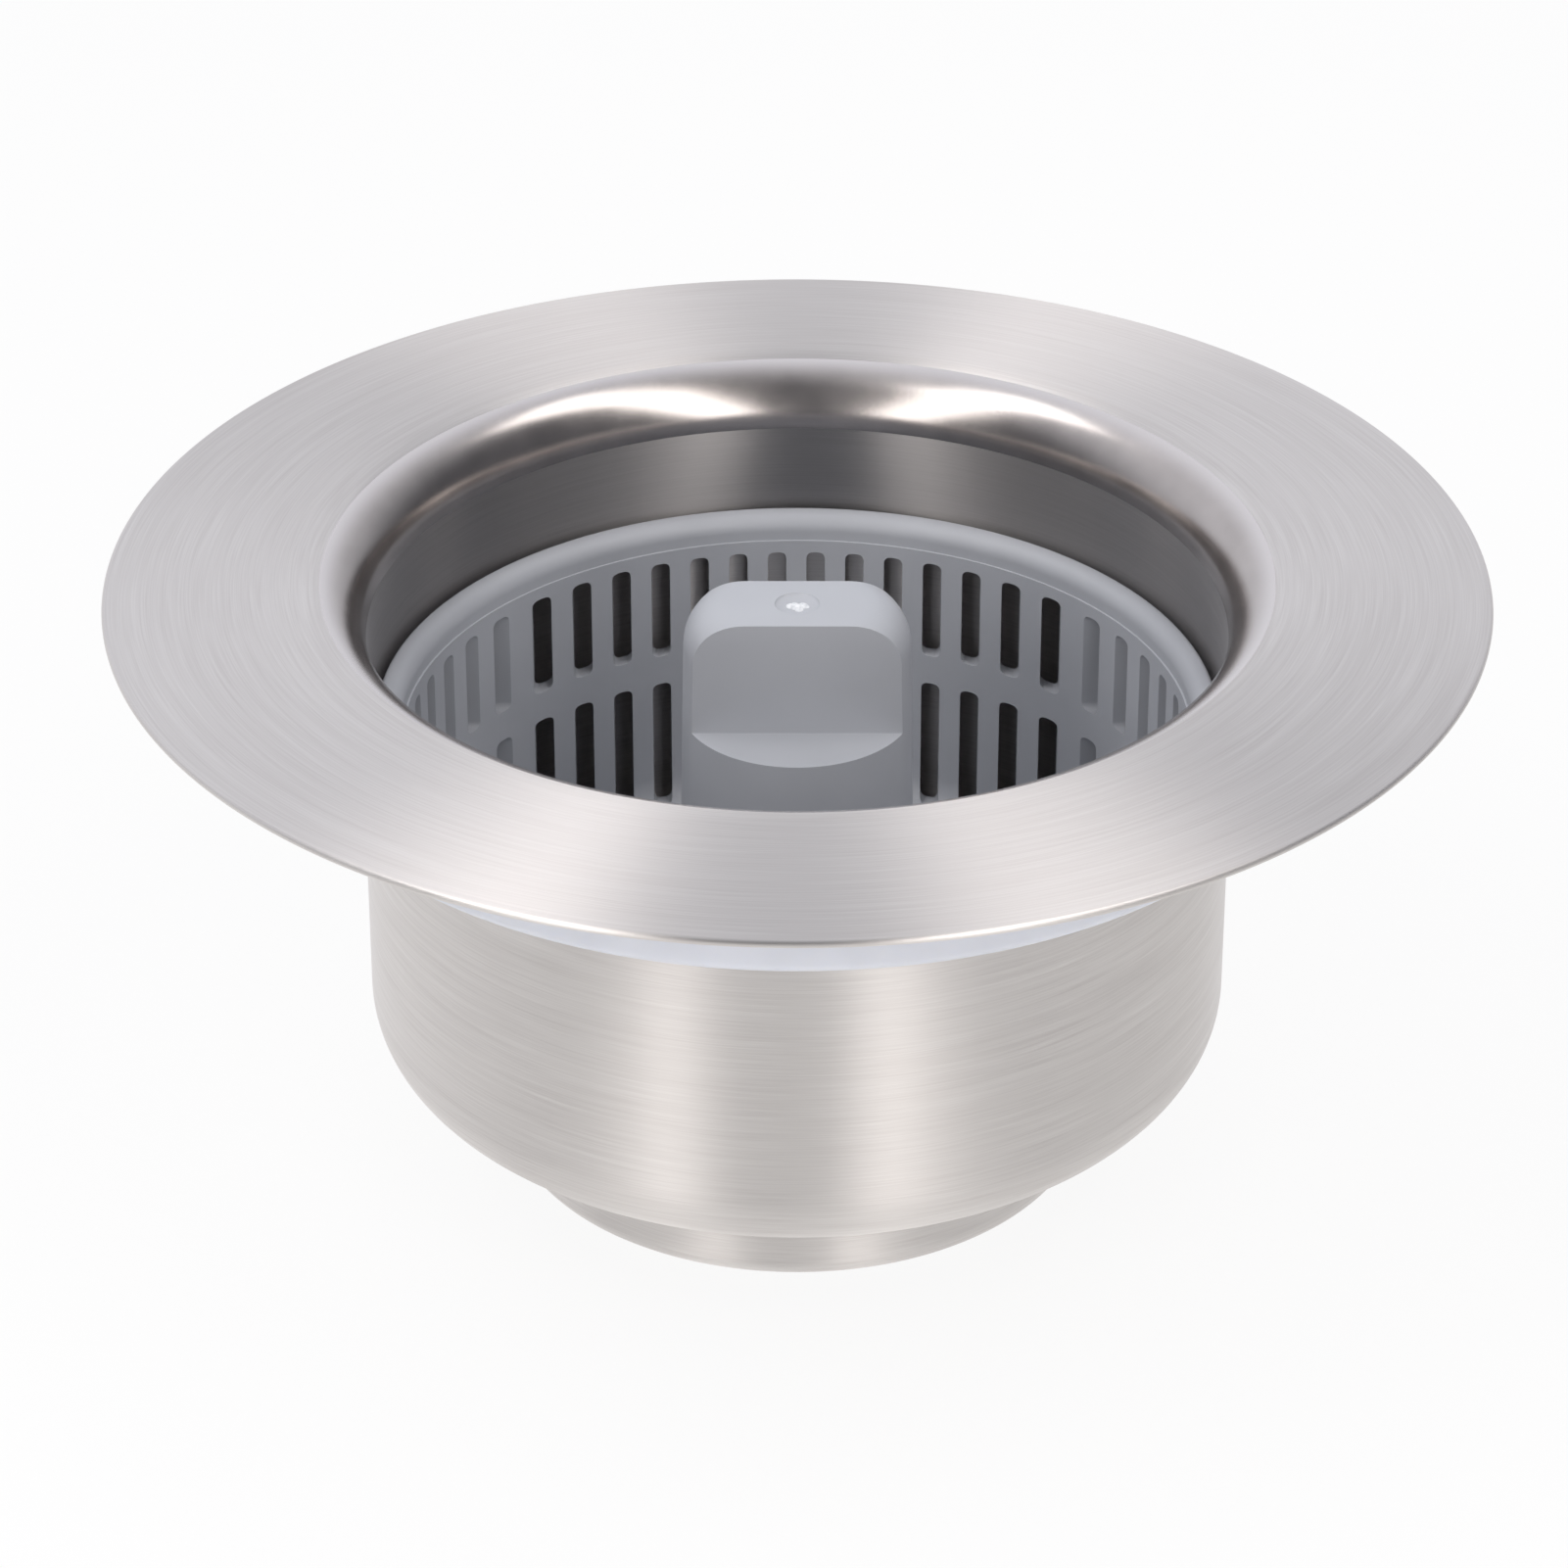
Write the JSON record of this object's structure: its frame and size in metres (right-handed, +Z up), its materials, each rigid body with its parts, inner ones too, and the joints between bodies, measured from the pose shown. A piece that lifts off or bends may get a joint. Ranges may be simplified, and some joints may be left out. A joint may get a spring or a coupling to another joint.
{
  "type": "sink strainer",
  "caption": "Drop-in sink drain strainer: wide-flanged steel bowl with an open outlet, a soft flange seal, and a slotted lift-out basket with a pinch-grip post.",
  "frame": {"origin": "centre of the outlet's bottom face, on the axis of the bowl", "axes": "+Z up along the axis, out of the mouth; +X to the viewer's right; -Y towards the viewer, square to the grip's flats"},
  "size_m": [0.14, 0.14, 0.0662],
  "materials": {
    "drawn_steel": "brushed in rings round the axis, satin inside the mouth",
    "silicone": "smooth translucent bluish white",
    "basket_plastic": "satin moulded grey",
    "post_plastic": "satin moulded grey"
  },
  "bodies": {
    "bowl": {"strainer_body": "drawn_steel", "flange_seal": "silicone"},
    "basket": {"basket": "basket_plastic", "grip_post": "post_plastic"}
  },
  "joints": [
    {"name": "basket_lift", "type": "slide", "parent": "bowl", "child": "basket", "axis": [0, 0, 1], "range_m": [0, 0.07]}
  ]
}
